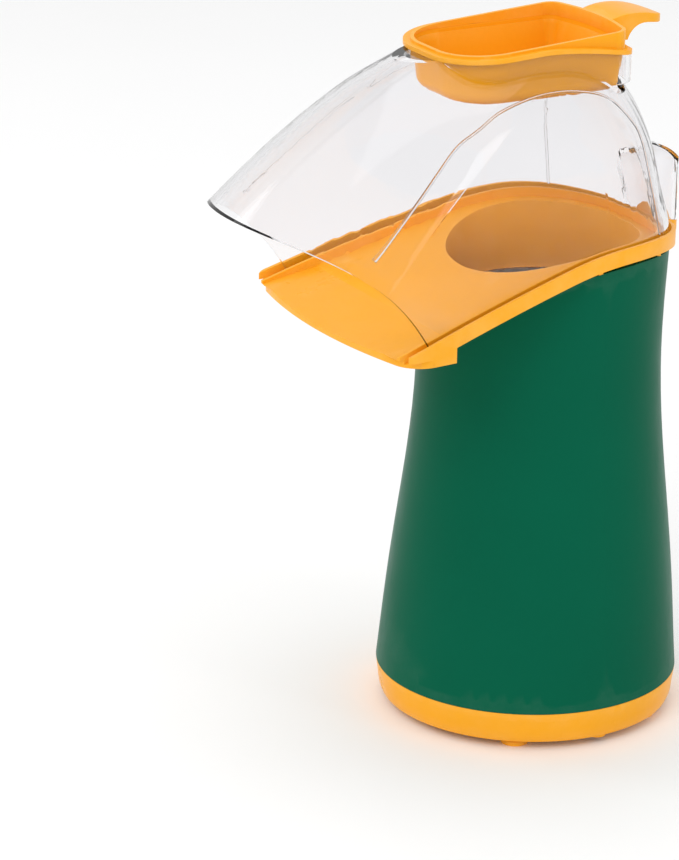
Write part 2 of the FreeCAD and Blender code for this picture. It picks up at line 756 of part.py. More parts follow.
def armature():
    low = MAGNET_Z + " + (size.magnet_height - size.core_height) / 2"
    body = turned("armature_core", ring("size.shaft_radius", ARMATURE_R, "0", "size.core_height"),
                  low)
    slot = new_sketch(body, "XY_Plane")
    polygon(slot, [("0.55 * " + ARMATURE_R, "-1.6"), (ARMATURE_R + " + 1", "-1.6"),
                   (ARMATURE_R + " + 1", "1.6"), ("0.55 * " + ARMATURE_R, "1.6")])
    first = pocket(body, slot)
    around(body, first, slot, "size.core_slots")
    turns = "0.85 * " + ARMATURE_R
    pieces = []
    for index, z in enumerate((low + " - 2.5", low + " + size.core_height")):
        disc = cylinder("winding_disc_%d" % index, turns, "2.5", "0", "size.core_y", z)
        hole = cylinder("winding_hole_%d" % index, "size.shaft_radius + 1.4", "2.5", "0",
                        "size.core_y", z)
        pieces.append(cut("winding_%d" % index, disc, hole))
    group("armature_windings", pieces)
    turned("commutator", ring("size.shaft_radius", "size.commutator_radius", "0",
                              "size.commutator_height"),
           "%s + size.cap_height + 0.2" % CAP_Z)


def brushes():
    pieces = []
    reach = "size.can_radius - size.can_wall - 2 - size.commutator_radius"
    z = "%s + size.cap_height + size.brush_lift" % CAP_Z
    y = "size.core_y - size.brush_width / 2"
    for index, x in enumerate(("size.commutator_radius + 0.15",
                               "-(size.commutator_radius + 0.15) - (%s)" % reach)):
        pieces.append(block("brush_%d" % index, reach, "size.brush_width", "size.brush_width",
                            x, y, z))
    group("carbon_brushes", pieces)


def rectifier():
    """Round board with four diodes under the motor."""
    turned("rectifier_board", ring("size.shaft_radius + 1.5", "size.can_radius - 2", "0", "1.4"),
           CAP_Z + " - 1.4")
    pieces = []
    for index in range(4):
        x = "%g * size.can_radius - 3.5" % (-0.42 + 0.84 * (index % 2))
        y = "size.core_y + %g * size.can_radius" % (-0.42 + 0.84 * (index // 2))
        pieces.append(cylinder("diode_%d" % index, "1.4", "7", x, y, CAP_Z + " - 2.8",
                               V(1, 0, 0)))
    group("rectifier_diodes", pieces)


FAN_Z = "size.plate_z + size.plate_thick + size.fan_lift"


def motor_shaft():
    turned("motor_shaft", ring("0", "size.shaft_radius", "0",
                               "%s - %s + size.fan_disc + 9 - 0.6" % (FAN_Z, CAP_Z)),
           CAP_Z + " + 0.6")


def fan():
    body = turned("fan_impeller", [
        ("size.shaft_radius", "-2"),
        ("size.hub_radius", "-2"),
        ("size.hub_radius", "0"),
        (FAN_R, "0"),
        (FAN_R, "size.fan_disc"),
        ("size.hub_radius", "size.fan_disc"),
        ("size.hub_radius", "size.fan_disc + 8"),
        ("size.shaft_radius", "size.fan_disc + 8"),
    ], FAN_Z)
    blade = new_sketch(body, "XY_Plane", "size.fan_disc - 0.2")
    inner = "0.45 * " + FAN_R
    outer = FAN_R + " - 0.5"
    sweep = "0.22 * " + FAN_R
    polygon(blade, [(inner, "0"), (outer, sweep), (outer, sweep + " + size.blade_thick"),
                    (inner, "size.blade_thick")])
    first = pad(body, blade, "size.blade_height - size.fan_disc")
    around(body, first, blade, "size.fan_blades")


# ---------------------------------------------------------------- duct, heater, chamber

DUCT_Z = "(size.plate_z + size.plate_thick)"
LIFT = "size.heater_lift"


def air_duct():
    inner = DUCT_R
    outer = DUCT_R + " + size.duct_wall"
    body = turned("air_duct", [
        (inner, "0"),
        (PLATE_R, "0"),
        (PLATE_R, "size.duct_wall"),
        (outer, "size.duct_wall"),
        (outer, "size.duct_height"),
        (inner + " - size.duct_lip", "size.duct_height"),
        (inner + " - size.duct_lip", "size.duct_height - size.duct_wall"),
        (inner, "size.duct_height - size.duct_wall"),
        (inner, LIFT),
        (inner + " - size.duct_lip", LIFT),
        (inner + " - size.duct_lip", LIFT + " - size.duct_wall"),
        (inner, LIFT + " - size.duct_wall"),
    ], DUCT_Z)
    holes = new_sketch(body, "XY_Plane")
    for angle in POST_ANGLES:
        circle(holes, *spot(PLATE_RING, angle), "size.screw_radius + size.gap")
    pocket(body, holes, "size.duct_wall + 1", reverse=True)


def heater():
    """Two crossed mica boards and the coil that is threaded through them."""
    low = DUCT_Z + " + " + LIFT
    half = "(%s - size.board_gap)" % DUCT_R
    middle = low + " + size.board_height / 2"
    coil_z = low + " + (size.board_height - size.coil_turns * size.coil_pitch) / 2"
    for name, quarter, notch_z in (("heater_board_long", 0, low),
                                   ("heater_board_cross", 1, middle)):
        length, width = "2 * " + half, "size.board_thick"
        x, y = "-" + half, "size.core_y - size.board_thick / 2"
        notch = ("size.board_thick + 0.2", "size.board_thick + 2", "-size.board_thick / 2 - 0.1",
                 "size.core_y - size.board_thick / 2 - 1")
        if quarter:
            length, width = width, length
            x, y = "-size.board_thick / 2", "size.core_y - " + half
            notch = ("size.board_thick + 2", "size.board_thick + 0.2",
                     "-size.board_thick / 2 - 1", "size.core_y - size.board_thick / 2 - 0.1")
        board = block(name + "_blank", length, width, "size.board_height", x, y, low)
        tools = [block(name + "_notch", notch[0], notch[1], "size.board_height / 2",
                       notch[2], notch[3], notch_z)]
        for turn in range(int(size("coil_turns")) + 1):
            for side in (1, -1):
                angle = (90 * quarter if side > 0 else 90 * quarter + 180) / 360.0
                if turn + angle > size("coil_turns"):
                    continue
                z = "%s + %g * size.coil_pitch" % (coil_z, turn + angle)
                hole = name + "_hole_%d_%d" % (turn, side + 1)
                radius = "size.coil_wire + 0.15"
                if quarter:
                    tools.append(cylinder(hole, radius, "4", "-2",
                                          "size.core_y + %d * size.coil_radius" % side, z,
                                          V(1, 0, 0)))
                else:
                    tools.append(cylinder(hole, radius, "4", "%d * size.coil_radius" % side,
                                          "size.core_y - 2", z, V(0, 1, 0)))
        keep(cut(name, board, fused(name + "_tools", tools)), name)
    path = DOC.addObject("Part::Helix", "coil_path")
    path.setExpression("Radius", "size.coil_radius")
    path.setExpression("Pitch", "size.coil_pitch")
    path.setExpression("Height", "size.coil_turns * size.coil_pitch")
    section = DOC.addObject("Part::Circle", "coil_section")
    section.setExpression("Radius", "size.coil_wire")
    section.Placement.Rotation = FreeCAD.Rotation(V(1, 0, 0), 90)
    section.setExpression("Placement.Base.x", "size.coil_radius")
    sweep = DOC.addObject("Part::Sweep", "heater_coil")
    sweep.Sections = [section]
    sweep.Spine = (path, ["Edge1"])
    sweep.Solid = True
    sweep.Frenet = True
    sweep.setExpression("Placement.Base.y", "size.core_y")
    sweep.setExpression("Placement.Base.z", coil_z)
    keep(sweep, "heater_coil")


CHAMBER_Z = "(size.plate_z + size.plate_thick + size.duct_height)"


def popping_chamber():
    wall = "size.chamber_wall"
    outer = "size.chamber_radius"
    corner = "size.chamber_corner"
    top = CHAMBER_TOP + " - " + CHAMBER_Z
    body = turned("popping_chamber", [
        ("0", "size.dome_height"),
        ("0.6 * size.dome_radius", "0.65 * size.dome_height"),
        ("size.dome_radius", "0"),
        (outer + " - " + corner, "0"),
        (outer, corner),
        (outer, top),
        (outer + " + size.chamber_flange", top),
        (outer + " + size.chamber_flange", top + " + " + wall),
        (outer + " - " + wall, top + " + " + wall),
        (outer + " - " + wall, corner + " + " + wall + " / 2"),
        (outer + " - " + corner + " - " + wall + " / 2", wall),
        ("size.dome_radius", wall),
        ("0.6 * size.dome_radius", "0.65 * size.dome_height + " + wall),
        ("0", "size.dome_height + " + wall),
    ], CHAMBER_Z)
    louvre = new_sketch(body, "XZ_Plane")
    half = "size.louvre_width / 2"
    lean = "size.louvre_height / 3"
    low = "size.louvre_lift"
    high = "size.louvre_lift + size.louvre_height"
    polygon(louvre, [("-%s - %s / 2" % (half, lean), low), ("%s - %s / 2" % (half, lean), low),
                     ("%s + %s / 2" % (half, lean), high), ("-%s + %s / 2" % (half, lean), high)])
    first = pocket(body, louvre, "size.chamber_radius + 2")
    around(body, first, louvre, "size.louvre_count")


def chamber_collar():
    """Heat-proof ring that centres the chamber in the housing."""
    turned("chamber_collar", ring("size.chamber_radius + size.gap",
                                  "size.waist_radius - size.shell_wall - 0.4",
                                  LEDGE_Z + " + size.ledge_height", CHAMBER_TOP))


def thermostat():
    """Disc thermostat on a clip against the back of the chamber, and the fuse beside it."""
    body = block("thermostat_foot", "2.4 * size.thermostat_radius", "1.5",
                 "1.2 * size.thermostat_radius", "-1.2 * size.thermostat_radius",
                 "size.core_y + size.chamber_radius",
                 "size.thermostat_z - 0.6 * size.thermostat_radius")
    disc = cylinder("thermostat_disc", "size.thermostat_radius", "size.thermostat_depth", "0",
                    "size.core_y + size.chamber_radius + 1.2", "size.thermostat_z", V(0, 1, 0))
    keep(fused("thermostat", [body, disc]), "thermostat")
    keep(cylinder("thermal_fuse", "size.fuse_radius", "size.fuse_length",
                  "-(size.chamber_radius + size.fuse_radius)", "size.core_y",
                  "size.thermostat_z"), "thermal_fuse")


def terminal_block():
    """Block on the base's floor with a row of blind wire holes from above."""
    floor = "size.foot_height + size.base_wall"
    blank = block("terminal_blank", "size.terminal_wide", "size.terminal_deep",
                  "size.terminal_tall", "-size.terminal_wide / 2", "size.terminal_y", floor)
    holes = [cylinder("terminal_hole_%d" % (step + 1), "size.terminal_bore", "size.terminal_tall",
                      "%d * size.terminal_pitch" % step, "size.terminal_y + size.terminal_deep / 2",
                      floor + " + size.terminal_tall / 2") for step in (-1, 0, 1)]
    keep(cut("terminal_block", blank, fused("terminal_holes", holes)), "terminal_block")


# ---------------------------------------------------------------- chute tray

def mirrored(point):
    return V(-point.x, point.y, point.z)


def outline_edges(runs):
    """Edges of straight runs of two points and arcs of three."""
    return [Part.makeLine(*run) if len(run) == 2 else Part.Arc(*run).toShape() for run in runs]


def outline_wire(runs):
    return Part.Wire(outline_edges(runs))


def corner_arc(centre, radius, start, turn):
    """Three points of an arc in a level plane, angles in degrees."""
    points = []
    for angle in (start, start + turn / 2, start + turn):
        reach = math.radians(angle)
        points.append(centre + V(radius * math.cos(reach), radius * math.sin(reach), 0))
    return points


def tray_face(inset, open_front=False, lip="tray"):
    """Plan of the tray, moved inward by inset: round back, spreading sides, curved lip."""
    r = size("tray_radius") - inset
    cy = size("core_y")
    spread = math.radians(size("tray_spread"))
    touch = V(r * math.cos(spread), cy + r * math.sin(spread), 0)
    front = size("tray_front_y") - HALF if open_front else size(lip + "_side_y")
    along = (touch.y - front) / math.cos(spread)
    end = touch + V(math.sin(spread), -math.cos(spread), 0) * along
    runs = [[touch, V(0, cy + r, 0), mirrored(touch)], [mirrored(touch), mirrored(end)]]
    if open_front:
        runs.append([mirrored(end), end])
    else:
        corner = V(size(lip + "_half"), size("tray_corner_y") + inset, 0)
        bulge = V(1, -1, 0).normalize() * size(lip + "_bulge")
        knee = (end + corner) * 0.5 + bulge
        tip = V(0, size("tray_front_y") + inset, 0)
        runs.append([mirrored(end), mirrored(knee), mirrored(corner)])
        runs.append([mirrored(corner), tip, corner])
        runs.append([corner, knee, end])
    runs.append([end, touch])
    return Part.Face(outline_wire(runs))


def tab_outside():
    return size("core_y") + size("tray_radius") + size("tab_out")


def tab_face(inset):
    """Plan of the rounded tab at the back."""
    half = size("tab_half") - inset
    out = tab_outside() - inset
    corner = size("tab_corner") - inset
    root = V(half, size("core_y") + 0.6 * size("tray_radius"), 0)
    turn = corner_arc(V(half - corner, out - corner, 0), corner, 0, 90)
    runs = [[mirrored(root), root], [root, turn[0]], turn, [turn[2], mirrored(turn[2])],
            [mirrored(point) for point in reversed(turn)], [mirrored(turn[0]), mirrored(root)]]
    return Part.Face(outline_wire(runs))


def upright(face):
    """Solid over a face, far down and far up."""
    solid = face.extrude(V(0, 0, 2 * FAR))
    solid.translate(V(0, 0, size("ridge_z") - FAR))
    return solid


def arch(half, foot_z, spring_z, crown_z, near_y, far_y):
    """Upright block across X with an arched top, from near_y to far_y."""
    foot, spring = V(half, near_y, foot_z), V(half, near_y, spring_z)
    runs = [[mirrored(foot), foot], [foot, spring],
            [spring, V(0, near_y, crown_z), mirrored(spring)], [mirrored(spring), mirrored(foot)]]
    return Part.Face(outline_wire(runs)).extrude(V(0, far_y - near_y, 0))


def tray_outside():
    """Outer form of the tray: band, bevelled front ends, pouring lip and tab."""
    side_y, step_y = size("tray_side_y"), size("step_y")
    front, back = size("tray_front_y") - 5, tab_outside() + 5
    low = size("ridge_z") - FAR
    edge = edge_height(side_y)
    lip_top = level("spout_level") - size("gap")
    ends = side_polygon([(side_y, low), (side_y, edge),
                         (side_y - size("bevel_run"), edge - size("bevel_drop")),
                         (front, lip_top), (front, low)])
    flare = upright(tray_face(0, False, "flare")).common(above("flare_level"))
    plan = upright(tray_face(0)).fuse(flare)
    solid = plan.common(under_line(0, side_y, back).fuse(ends))
    solid = solid.cut(under_line(size("band_height"), step_y, back))
    spout_low = edge_height(step_y) - size("band_height") - size("step_drop")
    solid = solid.cut(side_polygon([(step_y, low), (step_y, spout_low), (front, spout_low),
                                    (front, low)]))
    tab = upright(tab_face(0)).cut(plan).common(under_line(0, side_y, back))
    return solid.fuse(tab.cut(under_line(size("tab_thick"), side_y, back)))


def spout_wedge(top_start, top_end, end_y):
    """Everything under a sloping line from the step to end_y."""
    low = size("ridge_z") - FAR
    start_y = size("step_y")
    return side_polygon([(start_y, top_start), (end_y, top_end), (end_y, low), (start_y, low)])


def hood_channel():
    """Groove that takes the hood, open at the front."""
    inner = size("band_wall") + size("channel_width")
    groove = upright(tray_face(size("band_wall"), True)).cut(upright(tray_face(inner, True)))
    return groove.cut(under_line(size("channel_depth"), -2 * HALF, tab_outside()))


def tray_basin():
    """Space inside the channel's inner wall, above the sloping floor."""
    front, step_y = size("tray_front_y") - 7, size("step_y")
    lip = size("band_wall") + size("channel_width") + size("inner_lip")
    floor_drop = size("band_height") - size("tray_floor")
    ground = under_line(floor_drop, step_y, tab_outside())
    slope = spout_wedge(edge_height(step_y) - floor_drop, level("spout_level"), front)
    return upright(tray_face(lip, True)).cut(ground.fuse(slope))


def throat(low):
    """Neck under the tray, over the popping chamber."""
    top_drop = size("band_height") - size("tray_floor")
    radius = size("chamber_radius") + size("throat_wall")
    neck = Part.makeCylinder(radius, FAR, V(0, size("core_y"), low))
    return neck.common(under_line(top_drop, -HALF, tab_outside()))


RIB_PLACES = (-46.0, -3.0, 35.0)      # y of the ribs between tray and housing, on both sides


def tray_ribs():
    """Short ribs on which the tray stands on the edge of the housing."""
    width, radius = size("rib_width"), size("tray_radius") - size("tray_overhang")
    middle = radius - size("shell_wall") / 2
    foot = housing_gap() - size("seat_gap")
    zone = under_line(size("band_height") - 0.5, -HALF, HALF).cut(under_line(foot, -HALF, HALF))
    ribs = []
    for y in RIB_PLACES:
        for side in (1, -1):
            x = side * math.sqrt(middle ** 2 - (y - size("core_y")) ** 2)
            corner = V(x - width / 2, y - width / 2, size("ridge_z") - FAR)
            ribs.append(Part.makeBox(width, width, 2 * FAR, corner).common(zone))
    return ribs


def chute_tray():
    """Tray with an outer band, the hood's channel, a sloping chute, a throat and a tab."""
    step_y, corner_y = size("step_y"), size("tray_corner_y")
    solid = tray_outside().cut(hood_channel()).cut(tray_basin())
    crest = upright(tray_face(size("band_wall") + size("channel_width") / 2, True))
    solid = solid.cut(crest.cut(under_line(size("inner_drop"), -2 * HALF, tab_outside())))
    hollow = spout_wedge(edge_height(step_y) - size("band_height") - size("lip_thick"),
                         level("spout_level") - size("lip_thick"), corner_y + 1)
    solid = solid.cut(upright(tray_face(size("band_wall"))).common(hollow))
    throat_low = level("chamber_level") + size("chamber_wall") + size("gap")
    bore = Part.makeCylinder(size("chamber_radius"), 2 * FAR,
                             V(0, size("core_y"), size("ridge_z") - FAR))
    solid = solid.fuse(throat(throat_low)).cut(bore)
    shelf = edge_height(tab_outside())
    tongue_y = tab_outside() - size("hood_wall") - 2 * size("gap") - size("tongue_thick")
    tongue = arch(size("tongue_half"), shelf - 1, shelf, shelf + size("tongue_rise"),
                  tongue_y - size("tongue_thick"), tongue_y)
    solid = solid.fuse(tray_ribs() + [tongue])
    shaped("chute_tray", solid.removeSplitter())


# ---------------------------------------------------------------- hood

def roof_y(z):
    """Front end of the hood at one height, on the arc of the roof."""
    arc = Part.Circle(V(size("tip_y"), level("tip_level"), 0),
                      V(size("brow_y"), level("brow_level"), 0),
                      V(size("crown_y"), level("crown_level"), 0))
    return arc.Center.x - math.sqrt(arc.Radius ** 2 - (z - arc.Center.y) ** 2)


# Levels of the hood, from the ridge, and by how much each is narrower, shorter at the rear,
# and further forward with the widest point of its back.
HOOD_LEVELS = [
    (-38.4, 0.0, 0.0, 0.0),
    (-24.4, 0.0, 0.0, 0.0),
    (-13.4, 0.0, 0.0, 0.0),
    (-3.4, 0.0, 0.0, 0.0),
    (18.6, 2.7, 6.1, 0.0),
    (36.6, 5.5, 10.5, 2.4),
    (51.6, 8.2, 16.6, 6.4),
    (63.6, 11.4, 23.6, 11.4),
    (72.6, 15.7, 30.1, 16.4),
    (79.6, 22.7, 34.6, 17.4),
    (84.6, 28.7, 39.1, 13.4),
    (87.8, 32.7, 42.6, 8.4),
]


def bow(reach_x, reach_y, centre_y, z, start):
    """Quarter of an ellipse about (0, centre_y) in a level plane, from start degrees on."""
    knots = []
    for i in range(7):
        turn = math.radians(start + 15 * i)
        knots.append(V(reach_x * math.cos(turn), centre_y + reach_y * math.sin(turn), z))
    curve = Part.BSplineCurve()
    curve.interpolate(knots)
    return curve.toShape()


def hood_level(rise, narrower, shorter, forward, inset):
    """Egg-shaped outline of the hood at one level, moved inward and down by inset."""
    z = size("ridge_z") + rise
    radius = size("tray_radius") - size("hood_inset") - inset
    centre = size("core_y") - forward
    back_half = radius - narrower
    back_reach = size("core_y") + radius - shorter - centre
    nose_y = roof_y(z) + inset
    side_y = nose_y + size("nose") - inset
    spread = math.tan(math.radians(size("tray_spread")))
    front_half = back_half + spread * max(centre - side_y, 0)
    z = z - inset
    edges = [Part.makeLine(V(front_half, side_y, z), V(back_half, centre, z)),
             bow(back_half, back_reach, centre, z, 0),
             bow(back_half, back_reach, centre, z, 90),
             Part.makeLine(V(-back_half, centre, z), V(-front_half, side_y, z)),
             bow(front_half, side_y - nose_y, side_y, z, 180),
             bow(front_half, side_y - nose_y, side_y, z, 270)]
    return Part.Wire(edges)


def hood_block(inset):
    """Filled dome of the hood, moved inward by inset."""
    return Part.makeLoft([hood_level(*row, inset) for row in HOOD_LEVELS], True, False)


def ear_block(inset):
    """Filled grip at the back of the hood, over the tray's tab."""
    top, turn = level("ear_level") - inset, size("ear_corner") - inset
    inset = inset + size("gap")
    out = tab_outside() - inset
    half = size("tab_half") - inset
    root, low = size("core_y") + 0.7 * size("tray_radius"), size("ridge_z") - FAR
    middle = turn * (1 - math.sqrt(0.5))
    points = [V(0, root, low), V(0, out, low), V(0, out, top - turn),
              V(0, out - middle, top - middle), V(0, out - turn, top), V(0, root, top)]
    runs = [points[0:2], points[1:3], points[2:5], points[4:6], [points[5], points[0]]]
    side = side_prism(outline_edges(runs))
    return side.common(upright(tab_face(inset))).common(arch(half, low, top - half, top, root, out))


def hood_zone():
    """Outline seen from the side: behind the mouth, above the channel's floor."""
    rest = size("channel_depth") - size("seat_gap")
    front, back = size("tray_side_y") + 0.5, tab_outside() + 5
    bottom, low_front, low_back = side_curve(rest, front, back)
    tip = V(0, size("tip_y"), level("tip_level"))
    middle = V(0, size("mouth_y"), level("mouth_level"))
    beyond = tip + (tip - middle).normalize() * 25
    high = size("ridge_z") + FAR
    runs = [[low_front, middle, tip], [tip, beyond], [beyond, V(0, beyond.y, high)],
            [V(0, beyond.y, high), V(0, back, high)], [V(0, back, high), low_back]]
    return side_prism(bottom + outline_edges(runs))


def cup_outline(grow, z):
    """Plan of the cup: broad rounded front, straight sides, gently bowed back."""
    half = size("cup_half") + grow
    front, back = size("cup_front") - grow, size("cup_back") + grow
    front_r = size("cup_front_corner") + grow
    back_r = max(size("cup_back_corner") + grow, size("cup_wall"))
    shoulder = back - size("cup_bow")
    nose = corner_arc(V(half - front_r, front + front_r, z), front_r, -90, 90)
    heel = corner_arc(V(half - back_r, shoulder - back_r, z), back_r, 0, 90)
    right = [[V(0, front, z), nose[0]], nose, [nose[2], heel[0]], heel]
    rear = [[heel[2], V(0, back, z), mirrored(heel[2])]]
    left = [[mirrored(point) for point in reversed(run)] for run in reversed(right)]
    return outline_wire(right + rear + left)


def cup_prism(grow):
    """Upright solid over the cup's plan, moved outward by grow."""
    face = Part.Face(cup_outline(grow, 0))
    return upright(face)


def on_line(start, stop, y):
    """Point at y on the line through two points of the plane x = 0."""
    return start + (stop - start) * ((y - start.y) / (stop.y - start.y))


def under_rim():
    """Everything under the cup's rim, a plane that slopes from front to back."""
    front = V(0, size("cup_front"), level("rim_front_level"))
    back = V(0, size("cup_back"), level("rim_back_level"))
    low = size("ridge_z") - FAR
    ends = [on_line(front, back, y) for y in (size("tip_y") - 30, size("grip_y") + 30)]
    return side_polygon([(end.y, end.z) for end in ends] + [(ends[1].y, low), (ends[0].y, low)])


def under_seat(drop):
    """Everything under the cup's flange, moved down by drop: two slopes and a bend between."""
    names = [("cup_front", "seat_front_level"), ("seat_top_y", "seat_top_level"),
             ("seat_bend_y", "seat_bend_level"), ("cup_back", "seat_back_level")]
    front, top, bend, back = [V(0, size(y), level(z) - drop) for y, z in names]
    rise = (top.z - front.z) / (top.y - front.y)
    fall = (back.z - bend.z) / (back.y - bend.y)
    meet_y = (bend.z - top.z + rise * top.y - fall * bend.y) / (rise - fall)
    curve = Part.BezierCurve()
    curve.setPoles([top, on_line(front, top, meet_y), bend])
    start = on_line(front, top, size("tip_y") - 30)
    stop = on_line(bend, back, size("grip_y") + 30)
    low = size("ridge_z") - FAR
    below = [V(0, stop.y, low), V(0, start.y, low)]
    runs = [[stop, below[0]], below, [below[1], start]]
    slopes = [Part.makeLine(start, top), curve.toShape(), Part.makeLine(bend, stop)]
    return side_prism(slopes + outline_edges(runs))


def above(alias):
    """Everything above a level."""
    corner = V(-HALF, size("tip_y") - 30, level(alias))
    return Part.makeBox(2 * HALF, 3 * HALF, FAR, corner)


def hood():
    """Clear dome with an open mouth, a rear grip and the collar that carries the cup."""
    wall, gap = size("hood_wall"), size("seat_gap")
    dome = hood_block(0)
    collar = cup_prism(size("collar_out")).common(above("collar_level"))
    outside_channel = under_line(0, -2 * HALF, tab_outside() + 5)
    outside_channel = outside_channel.cut(upright(tray_face(size("hood_inset"), True)))
    outer = dome.cut(outside_channel).fuse(collar).common(under_seat(gap))
    well = cup_prism(size("collar_out") - wall).common(above("cup_floor_level"))
    shell = outer.cut(hood_block(wall)).cut(well).common(hood_zone())
    grip = ear_block(0).cut(ear_block(wall)).cut(dome)
    grip = grip.cut(under_line(-gap, 0, tab_outside() + 5))
    shaped("hood", shell.fuse(grip).removeSplitter())


def cup_block(grow, floor, radius):
    """Tapered bowl with a rounded edge round its floor."""
    levels = []
    for i in range(5):
        turn = math.radians(22.5 * i)
        inward = size("cup_taper") + radius * (1 - math.sin(turn))
        levels.append(cup_outline(grow - inward, floor + radius * (1 - math.cos(turn))))
    low = Part.makeLoft(levels, True, False)
    top = cup_outline(grow, level("seat_front_level") + size("cup_flange_thick"))
    return low.fuse(Part.makeLoft([levels[-1], top], True, True))


def measuring_cup():
    """Cup with a slanted rim, a flange that seats on the hood, and a curved handle."""
    wall = size("cup_wall")
    floor = level("cup_floor_level")
    outside = size("collar_out") - size("hood_wall") - size("cup_gap")
    seat, flange_top = under_seat(0), under_seat(-size("cup_flange_thick"))
    bowl = cup_block(outside, floor, size("cup_edge")).common(under_seat(-1.0))
    hollow = cup_block(outside - wall, floor + wall, size("cup_edge") - wall)
    flange = cup_prism(size("cup_flange")).common(flange_top).cut(seat)
    rim = cup_prism(0).common(under_rim()).cut(seat)
    space = cup_prism(-wall).common(above("seat_front_level"))
    piece = bowl.fuse([flange, rim, cup_handle()]).cut(hollow).cut(space)
    shaped("measuring_cup", piece.removeSplitter())


def smooth(points):
    curve = Part.BSplineCurve()
    curve.interpolate([V(0, y, z) for y, z in points])
    return curve.toShape()


def cup_handle():
    """Curved tongue behind the rim."""
    root, end = size("cup_back") - 3, size("grip_y")
    top, thick = level("grip_level"), size("grip_thick")
    rim, foot = level("rim_back_level") - 1, level("seat_back_level") + 1.5
    upper = [(root, rim), (root + 9, top), (end - 10, top - 0.6), (end, top - 0.9 * thick)]
    lower = [(end - 1.5, top - 1.7 * thick), (end - 9, top - 1.4 * thick),
             (root + 17, top - 1.5 * thick), (root + 13, top - 2.3 * thick), (root + 11, foot)]
    joins = [(upper[-1], lower[0]), (lower[-1], (root, foot)), ((root, foot), upper[0])]
    lines = [Part.makeLine(V(0, *start), V(0, *stop)) for start, stop in joins]
    half = size("grip_half")
    tongue = side_prism([smooth(upper), lines[0], smooth(lower), lines[1], lines[2]], half)
    plan = Part.makeBox(2 * half, end - root + 10, FAR, V(-half, root - 10, foot - 20))
    rear = [edge for edge in plan.Edges
            if edge.Length > FAR - 1 and edge.CenterOfMass.y > root]
    return tongue.common(plan.makeFillet(half - 3, rear))


# ---------------------------------------------------------------- the whole popper

def run():
    base_pan()
    feet()
    trimmed_housing()
    housing_screws()
    cord_gland()
    motor_plate()
    plate_screws()
    motor_screws()
    motor_can()
    motor_end_cap()
    bushes()
    magnets()
    armature()
    brushes()
    rectifier()
    motor_shaft()
    fan()
    air_duct()
    heater()
    popping_chamber()
    chamber_collar()
    thermostat()
    terminal_block()
    chute_tray()
    hood()
    measuring_cup()


run()
DOC.recompute()
os.makedirs("parts", exist_ok=True)
for item in DOC.Objects:
    if "Invalid" in item.State or "Error" in item.State:
        raise ValueError("failed: " + item.Name)
for piece in PARTS:
    shape = piece.Shape
    if shape.isNull() or not shape.isValid():
        raise ValueError("bad shape: " + piece.Label)
    shape.exportStep("parts/%s.step" % piece.Label)
    print("%-22s %8.0f mm3 %d solids" % (piece.Label, shape.Volume, len(shape.Solids)))
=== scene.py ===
"""Looks of the hot-air popcorn maker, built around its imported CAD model."""
import json
import math

import bpy
from mathutils import Matrix, Vector
from mathutils.bvhtree import BVHTree


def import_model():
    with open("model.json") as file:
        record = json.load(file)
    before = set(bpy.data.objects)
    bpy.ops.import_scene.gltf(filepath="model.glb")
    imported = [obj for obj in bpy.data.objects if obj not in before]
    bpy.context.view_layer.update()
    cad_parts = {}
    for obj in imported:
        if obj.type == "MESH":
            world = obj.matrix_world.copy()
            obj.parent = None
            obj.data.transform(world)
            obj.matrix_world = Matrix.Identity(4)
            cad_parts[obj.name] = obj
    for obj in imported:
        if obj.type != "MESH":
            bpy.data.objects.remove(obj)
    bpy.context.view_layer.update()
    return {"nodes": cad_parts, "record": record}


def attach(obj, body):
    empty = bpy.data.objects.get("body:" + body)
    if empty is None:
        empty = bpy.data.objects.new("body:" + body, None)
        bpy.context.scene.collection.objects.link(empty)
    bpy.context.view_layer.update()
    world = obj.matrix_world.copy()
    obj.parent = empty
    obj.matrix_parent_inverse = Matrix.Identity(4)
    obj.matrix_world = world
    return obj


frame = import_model()
NODES = frame["nodes"]


# ---------------------------------------------------------------- material nodes

FLAT_POINTINESS, CORNER_POINTINESS = 0.506, 0.53
MIX_COLOUR_INPUTS, MIX_COLOUR_RESULT = (0, 6, 7), 2


def fill(slots, values):
    """Each slot gets its value: a socket is linked, anything else is a plain value."""
    for slot, value in zip(slots, values):
        if isinstance(value, bpy.types.NodeSocket):
            slot.id_data.links.new(value, slot)
        else:
            slot.default_value = value


